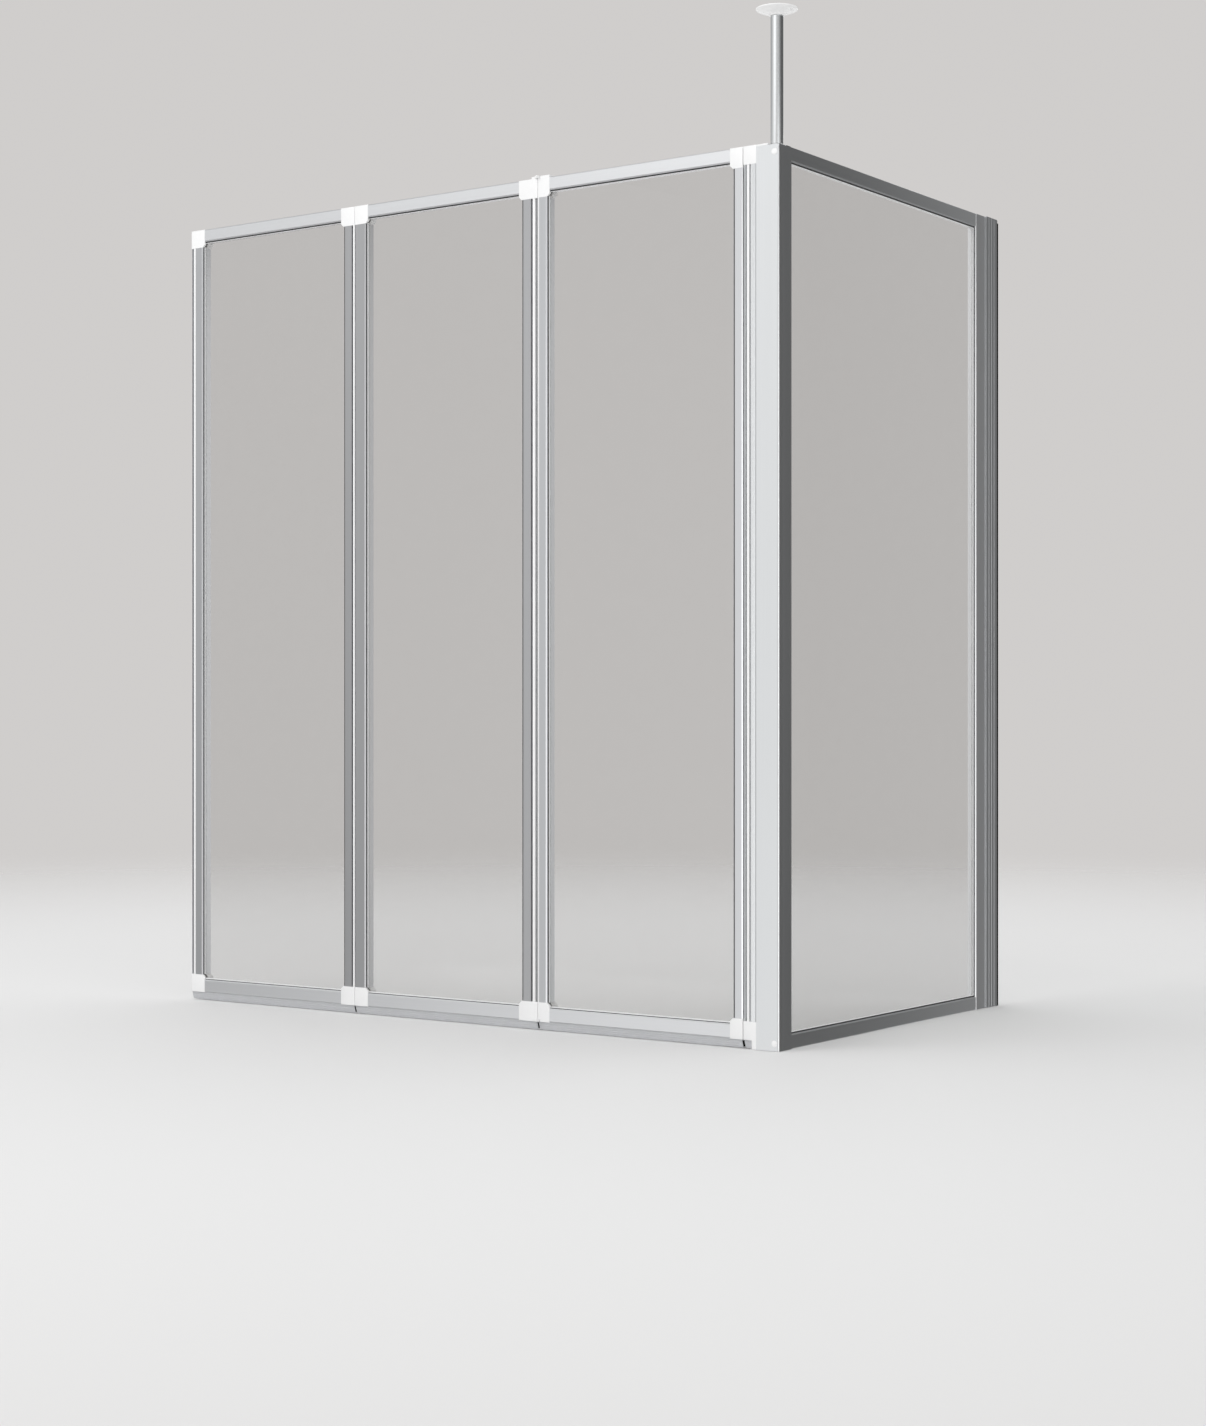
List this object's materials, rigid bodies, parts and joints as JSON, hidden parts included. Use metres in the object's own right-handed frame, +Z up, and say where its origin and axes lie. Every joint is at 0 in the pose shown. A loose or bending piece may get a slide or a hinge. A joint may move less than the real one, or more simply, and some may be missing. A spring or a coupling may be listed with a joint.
{
  "type": "folding bath screen",
  "caption": "Framed glass bath screen: folding panels hinged to a corner post, a fixed side wall with a wall profile, and a round strut up to the ceiling.",
  "frame": {"origin": "on the back face of the wall profile, half way across it, at the level that the screen stands on", "axes": "+Y square into the wall behind the wall profile, +Z up, +X from the folding front towards the corner post's outer face"},
  "size_m": [1.2706, 0.7747, 1.608],
  "materials": {
    "satin_aluminium": "satin anodised",
    "white_plastic": "semi-gloss moulded",
    "clear_glass": "clear toughened",
    "clear_seal": "translucent, soft",
    "white_seal": "matt",
    "black_seal": "matt",
    "steel": "bright"
  },
  "bodies": {
    "fixed_frame": {"corner_post": "satin_aluminium", "post_top_cap": "white_plastic", "post_screw_covers": "white_plastic", "frame_screws": "steel", "hinge_profile": "satin_aluminium", "hinge_profile_top_cap": "white_plastic", "hinge_profile_bottom_cap": "white_plastic", "hinge_profile_seal": "white_seal", "hinge_profile_drip_seal": "clear_seal", "side_top_rail": "satin_aluminium", "side_bottom_rail": "satin_aluminium", "side_front_stile": "satin_aluminium", "side_wall_stile": "satin_aluminium", "side_glass": "clear_glass", "side_gaskets": "clear_seal", "wall_profile": "satin_aluminium", "wall_seal_strip": "black_seal", "ceiling_strut": "satin_aluminium", "strut_plug": "white_plastic", "ceiling_flange": "white_plastic", "near_hinge_pins": "steel"},
    "near_panel": {"near_top_rail": "satin_aluminium", "near_bottom_rail": "satin_aluminium", "near_post_stile": "satin_aluminium", "near_free_stile": "satin_aluminium", "near_post_top_corner": "white_plastic", "near_post_bottom_corner": "white_plastic", "near_free_top_corner": "white_plastic", "near_free_bottom_corner": "white_plastic", "near_glass": "clear_glass", "near_gaskets": "clear_seal", "near_drip_seal": "clear_seal", "near_free_seal": "white_seal", "middle_hinge_pins": "steel"},
    "middle_panel": {"middle_top_rail": "satin_aluminium", "middle_bottom_rail": "satin_aluminium", "middle_post_stile": "satin_aluminium", "middle_free_stile": "satin_aluminium", "middle_post_top_corner": "white_plastic", "middle_post_bottom_corner": "white_plastic", "middle_free_top_corner": "white_plastic", "middle_free_bottom_corner": "white_plastic", "middle_glass": "clear_glass", "middle_gaskets": "clear_seal", "middle_drip_seal": "clear_seal", "middle_hinge_seal": "white_seal", "end_hinge_pins": "steel"},
    "end_panel": {"end_top_rail": "satin_aluminium", "end_bottom_rail": "satin_aluminium", "end_post_stile": "satin_aluminium", "end_free_stile": "satin_aluminium", "end_post_top_corner": "white_plastic", "end_post_bottom_corner": "white_plastic", "end_free_top_corner": "white_plastic", "end_free_bottom_corner": "white_plastic", "end_glass": "clear_glass", "end_gaskets": "clear_seal", "end_drip_seal": "clear_seal", "end_hinge_seal": "white_seal", "end_free_seal": "white_seal"}
  },
  "joints": [
    {"name": "near_panel_hinge", "type": "hinge", "parent": "fixed_frame", "child": "near_panel", "pos_m": [-0.05375, -0.73, 0.7], "axis": [0, 0, 1], "range_deg": [-90, 0]},
    {"name": "middle_panel_hinge", "type": "hinge", "parent": "near_panel", "child": "middle_panel", "pos_m": [-0.4509, -0.756, 0.7], "axis": [0, 0, 1], "range_deg": [0, 180]},
    {"name": "end_panel_hinge", "type": "hinge", "parent": "middle_panel", "child": "end_panel", "pos_m": [-0.8467, -0.73, 0.7], "axis": [0, 0, 1], "range_deg": [-180, 0]}
  ]
}
